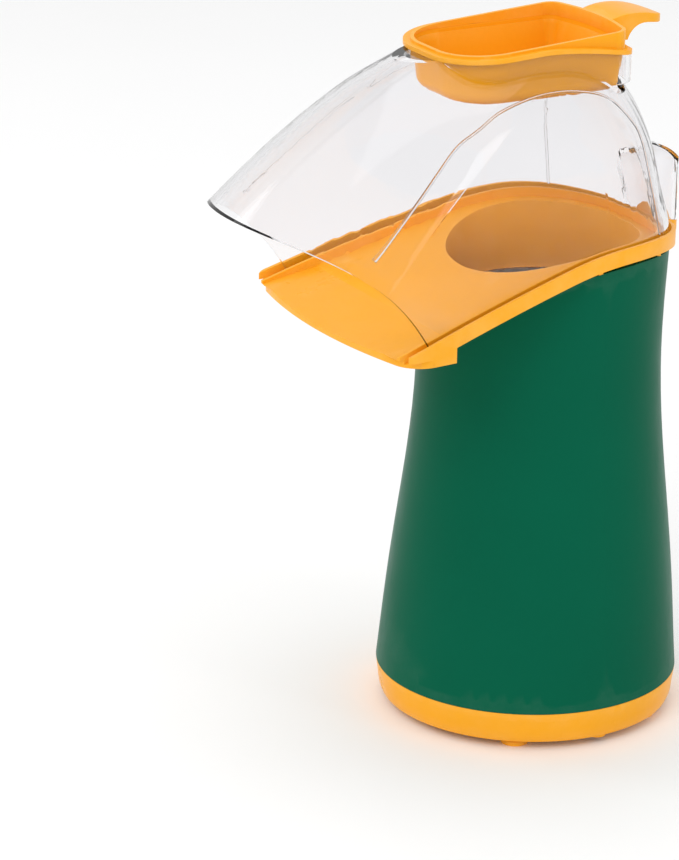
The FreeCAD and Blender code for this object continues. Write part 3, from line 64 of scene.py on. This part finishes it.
class Shader:
    """A Principled material whose nodes are added one by one."""

    def __init__(self, name):
        self.material = bpy.data.materials.new(name)
        self.material.use_nodes = True
        self.tree = self.material.node_tree
        self.main = self.tree.nodes["Principled BSDF"]
        self.place = self.node("ShaderNodeTexCoord").outputs["Object"]

    def node(self, kind, **settings):
        made = self.tree.nodes.new(kind)
        for key, value in settings.items():
            setattr(made, key, value)
        return made

    def link(self, source, target):
        self.tree.links.new(source, target)

    def put(self, node, values):
        """Fills the inputs of a node by name."""
        fill([node.inputs[key] for key in values], values.values())
        return node

    def set(self, **values):
        names = {key.replace("_", " "): value for key, value in values.items()}
        self.put(self.main, names)

    def stretched(self, scale):
        """Object place with each axis scaled, for brushed or drawn marks."""
        made = self.node("ShaderNodeMapping")
        self.put(made, {"Vector": self.place, "Scale": scale})
        return made.outputs["Vector"]

    def noise(self, scale, detail=4.0, rough=0.5, place=None):
        made = self.node("ShaderNodeTexNoise")
        self.put(made, {"Vector": place or self.place, "Scale": scale,
                        "Detail": detail, "Roughness": rough})
        return made.outputs["Fac"]

    def span(self, value, low, high, to_low=0.0, to_high=1.0):
        """value from low..high to to_low..to_high, held at the ends."""
        made = self.node("ShaderNodeMapRange", clamp=True)
        self.put(made, {"Value": value, "From Min": low, "From Max": high,
                        "To Min": to_low, "To Max": to_high})
        return made.outputs["Result"]

    def math(self, kind, a, b):
        made = self.node("ShaderNodeMath", operation=kind)
        fill(made.inputs, (a, b))
        return made.outputs[0]

    def mix(self, factor, a, b):
        made = self.node("ShaderNodeMix", data_type="RGBA")
        fill([made.inputs[place] for place in MIX_COLOUR_INPUTS], (factor, a, b))
        return made.outputs[MIX_COLOUR_RESULT]

    def bump(self, height, strength, distance, below=None):
        made = self.node("ShaderNodeBump")
        self.put(made, {"Height": height, "Strength": strength, "Distance": distance})
        if below is not None:
            self.link(below, made.inputs["Normal"])
        return made.outputs["Normal"]

    def edges(self):
        """1 on outward corners, 0 elsewhere."""
        found = self.node("ShaderNodeNewGeometry").outputs["Pointiness"]
        return self.span(found, FLAT_POINTINESS, CORNER_POINTINESS)


def shade(colour, factor):
    return tuple(min(1.0, channel * factor) for channel in colour[:3]) + (1.0,)


def moulded(name, colour, rough, grain, wear=0.35, shine=0.13):
    """Moulded plastic: faint flow in the colour, fine grain, paler worn corners, handling marks."""
    s = Shader(name)
    flow = s.noise(9.0, 3.0, 0.55)
    speck = s.noise(420.0, 2.0, 0.6)
    base = s.mix(s.span(flow, 0.3, 0.7), shade(colour, 0.955), shade(colour, 1.045))
    base = s.mix(s.span(speck, 0.35, 0.65, 0.0, 0.10), base, shade(colour, 1.16))
    rubbed = s.math("MULTIPLY", s.edges(), s.span(s.noise(60.0, 5.0, 0.7), 0.35, 0.7, 0.2, 1.0))
    worn = s.math("MULTIPLY", rubbed, wear)
    base = s.mix(worn, base, shade([c + 0.12 for c in colour], 1.06))
    smear = s.noise(14.0, 5.0, 0.65)
    scuff = s.noise(150.0, 4.0, 0.7, s.stretched((1.0, 1.0, 0.25)))
    rough_map = s.math("ADD", s.span(smear, 0.3, 0.72, rough - 0.05, rough + 0.07),
                       s.span(scuff, 0.52, 0.8, 0.0, 0.06))
    fine = s.noise(2600.0, 2.0, 0.5)
    broad = s.noise(34.0, 2.0, 0.5)
    normal = s.bump(broad, 0.06, 0.0006)
    normal = s.bump(fine, grain, 0.00004, normal)
    s.set(Base_Color=base, Roughness=rough_map, Normal=normal, IOR=1.49,
          Specular_IOR_Level=shine)
    return s.material


def clear(name, tint, rough, haze):
    """Clear moulded plastic that lets lamps through, with faint flow lines and handling haze."""
    s = Shader(name)
    flow = s.noise(16.0, 2.0, 0.45)
    fine = s.noise(900.0, 2.0, 0.5)
    smear = s.noise(22.0, 5.0, 0.7)
    rough_map = s.span(smear, 0.5, 0.78, rough, rough + haze)
    normal = s.bump(flow, 0.02, 0.0004)
    normal = s.bump(fine, 0.02, 0.00003, normal)
    base = s.mix(s.span(s.noise(6.0, 2.0, 0.5), 0.3, 0.7), tint, shade(tint, 0.985))
    s.set(Base_Color=base, Roughness=rough_map, Normal=normal, IOR=1.34)
    s.main.inputs["Transmission Weight"].default_value = 1.0
    out = s.tree.nodes["Material Output"]
    through = s.node("ShaderNodeBsdfTransparent")
    through.inputs["Color"].default_value = (0.93, 0.925, 0.935, 1.0)
    lamp = s.node("ShaderNodeLightPath").outputs["Is Shadow Ray"]
    both = s.node("ShaderNodeMixShader")
    s.link(lamp, both.inputs[0])
    s.link(s.main.outputs[0], both.inputs[1])
    s.link(through.outputs[0], both.inputs[2])
    s.link(both.outputs[0], out.inputs["Surface"])
    return s.material


def metal(name, colour, rough, stretch=(1.0, 1.0, 1.0), marks=220.0, tarnish=0.25):
    """Bare or plated metal: rolled or turned marks, dull patches, brighter corners."""
    s = Shader(name)
    lines = s.noise(marks, 4.0, 0.6, s.stretched(stretch))
    dull = s.noise(45.0, 5.0, 0.65)
    base = s.mix(s.span(dull, 0.4, 0.7, 0.0, tarnish), colour, shade(colour, 0.55))
    base = s.mix(s.math("MULTIPLY", s.edges(), 0.5), base, shade(colour, 1.35))
    rough_map = s.math("ADD", s.span(lines, 0.3, 0.7, rough - 0.06, rough + 0.06),
                       s.span(dull, 0.5, 0.75, 0.0, 0.12))
    s.set(Base_Color=base, Metallic=1.0, Roughness=rough_map,
          Normal=s.bump(lines, 0.12, 0.00006))
    return s.material


def matt(name, colour, rough, scale, depth, change=0.14):
    """Matt stuff such as rubber, ferrite, carbon, mica or printed board."""
    s = Shader(name)
    cloud = s.noise(scale * 0.1, 4.0, 0.6)
    grain = s.noise(scale, 5.0, 0.7)
    base = s.mix(s.span(cloud, 0.3, 0.7), shade(colour, 1 - change), shade(colour, 1 + change))
    base = s.mix(s.math("MULTIPLY", s.edges(), 0.35), base, shade([c + 0.05 for c in colour], 1.3))
    s.set(Base_Color=base, Roughness=s.span(grain, 0.25, 0.75, rough - 0.08, rough + 0.06),
          Normal=s.bump(grain, 0.25, depth))
    return s.material


YELLOW = (0.90, 0.385, 0.012)
GREEN = (0.0008, 0.102, 0.053)
MATERIALS = {
    "yellow_plastic": moulded("yellow_plastic", YELLOW, 0.30, 0.10),
    "green_plastic": moulded("green_plastic", GREEN, 0.34, 0.14, wear=0.10,
                              shine=0.04),
    "clear_plastic": clear("clear_plastic", (0.955, 0.95, 0.96, 1.0), 0.008, 0.05),
    "zinc_steel": metal("zinc_steel", (0.62, 0.63, 0.64, 1.0), 0.32),
    "black_rubber": matt("black_rubber", (0.028, 0.028, 0.03, 1.0), 0.75, 900.0, 0.00005),
    "dark_plastic": moulded("dark_plastic", (0.045, 0.045, 0.048), 0.46, 0.2, wear=0.2),
    "bronze": metal("bronze", (0.55, 0.38, 0.18, 1.0), 0.36, marks=900.0),
    "copper": metal("copper", (0.72, 0.32, 0.16, 1.0), 0.28, (1.0, 1.0, 9.0), 160.0),
    "ferrite": matt("ferrite", (0.07, 0.07, 0.078, 1.0), 0.62, 1200.0, 0.00004),
    "core_steel": metal("core_steel", (0.36, 0.36, 0.37, 1.0), 0.42, (0.2, 0.2, 12.0), 180.0),
    "carbon": matt("carbon", (0.035, 0.035, 0.037, 1.0), 0.55, 1500.0, 0.00003),
    "board_green": matt("board_green", (0.33, 0.27, 0.13, 1.0), 0.42, 700.0, 0.00002),
    "mica": matt("mica", (0.66, 0.60, 0.48, 1.0), 0.38, 260.0, 0.00006, 0.2),
    "heater_wire": metal("heater_wire", (0.42, 0.39, 0.37, 1.0), 0.4, tarnish=0.5),
    "aluminium_sheet": metal("aluminium_sheet", (0.80, 0.80, 0.81, 1.0), 0.27,
                             (1.0, 1.0, 14.0), 90.0, 0.12),
}


# ---------------------------------------------------------------- CAD nodes

SAME_POINT, SHARP_EDGE, RIM_STEPS = 0.00001, math.radians(38), 2
ROUNDED = {"base_pan": 0.0012, "chute_tray": 0.0006, "measuring_cup": 0.0006}


def soften(piece, width):
    """Rounds the sharp edges of a CAD piece with a modifier; its mesh stays as packed."""
    weld = piece.modifiers.new("weld", "WELD")
    weld.merge_threshold = SAME_POINT
    bevel = piece.modifiers.new("rounded", "BEVEL")
    bevel.width = width
    bevel.segments = RIM_STEPS
    bevel.limit_method = "ANGLE"
    bevel.angle_limit = SHARP_EDGE
    bevel.miter_outer = "MITER_ARC"
    bevel.use_clamp_overlap = True


def finish_nodes():
    slots = {part["node"]: part["material_slot"] for part in frame["record"]["subparts"]}
    for name, piece in NODES.items():
        piece.data.materials.clear()
        piece.data.materials.append(MATERIALS[slots[name]])
        if name in ROUNDED:
            soften(piece, ROUNDED[name])


finish_nodes()


# ---------------------------------------------------------------- hood crease

CREASE = [
    (-0.126, 0.257), (-0.120, 0.262), (-0.100, 0.280), (-0.089, 0.290), (-0.077, 0.300),
    (-0.065, 0.306), (-0.051, 0.3125), (-0.031, 0.3165), (-0.009, 0.316), (0.009, 0.3105),
    (0.0225, 0.298), (0.028, 0.289), (0.031, 0.272), (0.034, 0.255), (0.036, 0.243),
]
RIDGE, RIDGE_END, RIDGE_SIDES = 0.0007, 0.0013, 10
RIDGE_STEPS, RIDGE_TAPER = 6, 6
RIDGE_SINK, RIDGE_FLATNESS, OUTSIDE = 0.0002, 0.8, 0.2


def curve_through(points, steps):
    """Smooth run through points, with steps samples between two of them."""
    ends = [points[0]] + points + [points[-1]]
    run = []
    for a, b, c, d in zip(ends, ends[1:], ends[2:], ends[3:]):
        for step in range(steps):
            t = step / steps
            run.append(b + (c - a) * (t / 2) + (a * 2 - b * 5 + c * 4 - d) * (t * t / 2)
                       + (b * 3 - a - c * 3 + d) * (t ** 3 / 2))
    return run + [points[-1]]


def crease(name, side, skin):
    """Thin moulded ridge that follows the crease of one side of the hood."""
    run = curve_through([Vector((0, y, z)) for y, z in CREASE], RIDGE_STEPS)
    hits = [skin.ray_cast(p + Vector((side * OUTSIDE, 0, 0)), Vector((-side, 0, 0)))
            for p in run]
    hits = [(spot, normal) for spot, normal, index, far in hits if spot is not None]
    verts, faces = [], []
    for order, (spot, normal) in enumerate(hits):
        ahead = hits[min(order + 1, len(hits) - 1)][0] - hits[max(order - 1, 0)][0]
        across = ahead.normalized().cross(normal).normalized()
        radius = RIDGE + (RIDGE_END - RIDGE) * math.exp(-order / RIDGE_TAPER)
        for turn in range(RIDGE_SIDES):
            angle = math.tau * turn / RIDGE_SIDES
            out = normal * math.cos(angle) * RIDGE_FLATNESS + across * math.sin(angle)
            verts.append(spot - normal * RIDGE_SINK + out * radius)
    for order in range(len(hits) - 1):
        for turn in range(RIDGE_SIDES):
            after = (turn + 1) % RIDGE_SIDES
            low, high = order * RIDGE_SIDES, (order + 1) * RIDGE_SIDES
            faces.append((low + turn, low + after, high + after, high + turn))
    faces.append(tuple(range(RIDGE_SIDES - 1, -1, -1)))
    faces.append(tuple(range(len(verts) - RIDGE_SIDES, len(verts))))
    mesh = bpy.data.meshes.new(name)
    mesh.from_pydata(verts, [], faces)
    mesh.polygons.foreach_set("use_smooth", [True] * len(mesh.polygons))
    mesh.materials.append(MATERIALS["clear_plastic"])
    ridge = bpy.data.objects.new(name, mesh)
    bpy.context.collection.objects.link(ridge)
    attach(ridge, "cover")


hood = NODES["hood"]
hood_skin = BVHTree.FromPolygons([hood.matrix_world @ v.co for v in hood.data.vertices],
                                 [tuple(face.vertices) for face in hood.data.polygons])
crease("hood_crease_left", -1, hood_skin)
crease("hood_crease_right", 1, hood_skin)


# ---------------------------------------------------------------- camera and light

CAMERA_PLACE = (1.54707, -0.98198, 0.7872)
CAMERA_ANGLES = (57.595, 19.607, -2.894, 0.768)
LENS = 169.02
FLOOR_REACH = 6.0


def camera():
    """Fitted view: 1.832 m in front and to the right, 0.787 m up, looking slightly down."""
    azimuth, pitch, pan, roll = [math.radians(angle) for angle in CAMERA_ANGLES]
    ahead = Vector((-math.sin(azimuth), math.cos(azimuth), 0))
    right = Vector((math.cos(azimuth), math.sin(azimuth), 0))
    turned = ahead * math.cos(pan) + right * math.sin(pan)
    side = right * math.cos(pan) - ahead * math.sin(pan)
    look = turned * math.cos(pitch) + Vector((0, 0, -math.sin(pitch)))
    top = turned * math.sin(pitch) + Vector((0, 0, math.cos(pitch)))
    x = side * math.cos(roll) + top * math.sin(roll)
    y = top * math.cos(roll) - side * math.sin(roll)
    data = bpy.data.cameras.new("camera")
    data.sensor_fit = "VERTICAL"
    data.sensor_height = 36.0
    data.lens = LENS
    seen = bpy.data.objects.new("camera", data)
    spin = Matrix((x, y, -look)).transposed().to_4x4()
    seen.matrix_world = Matrix.Translation(CAMERA_PLACE) @ spin
    bpy.context.collection.objects.link(seen)
    bpy.context.scene.camera = seen


def softbox(name, place, aim, width, height, power):
    data = bpy.data.lights.new(name, "AREA")
    data.shape = "RECTANGLE"
    data.size, data.size_y = width, height
    data.energy = power
    lamp = bpy.data.objects.new(name, data)
    lamp.location = place
    away = Vector(place) - Vector(aim)
    lamp.rotation_euler = away.to_track_quat("Z", "Y").to_euler()
    bpy.context.collection.objects.link(lamp)


def floor():
    """Plain pale floor, gently mottled so that it isn't one flat colour."""
    s = Shader("pale_floor")
    cloud = s.noise(3.0, 3.0, 0.5)
    base = s.mix(cloud, (0.93, 0.93, 0.93, 1.0), (0.95, 0.95, 0.95, 1.0))
    s.set(Base_Color=base, Roughness=s.span(cloud, 0.3, 0.7, 0.55, 0.65),
          Normal=s.bump(s.noise(500.0), 0.03, 0.0001), Specular_IOR_Level=0.2)
    mesh = bpy.data.meshes.new("floor")
    corners = [(x * FLOOR_REACH, y * FLOOR_REACH, 0)
               for x, y in ((-1, -1), (1, -1), (1, 1), (-1, 1))]
    mesh.from_pydata(corners, [], [(0, 1, 2, 3)])
    mesh.materials.append(s.material)
    plane = bpy.data.objects.new("floor", mesh)
    bpy.context.collection.objects.link(plane)


def world(strength):
    """White surroundings."""
    made = bpy.data.worlds.new("studio")
    made.use_nodes = True
    bpy.context.scene.world = made
    tree = made.node_tree
    back = tree.nodes["Background"]
    back.inputs["Strength"].default_value = strength
    back.inputs["Color"].default_value = (1.0, 1.0, 1.0, 1.0)


camera()
floor()
world(0.88)
softbox("key", (0.9, -1.5, 1.5), (0, 0, 0.18), 0.9, 0.9, 9.0)
softbox("side", (1.5, 0.75, 0.75), (0, 0, 0.15), 0.35, 1.1, 2.5)
softbox("top", (-0.2, 0.1, 1.9), (0, 0, 0.2), 1.4, 1.4, 5.0)
softbox("rim", (-1.2, -0.9, 0.8), (0, 0, 0.2), 0.5, 1.0, 2.5)
bpy.context.scene.view_settings.view_transform = "Standard"
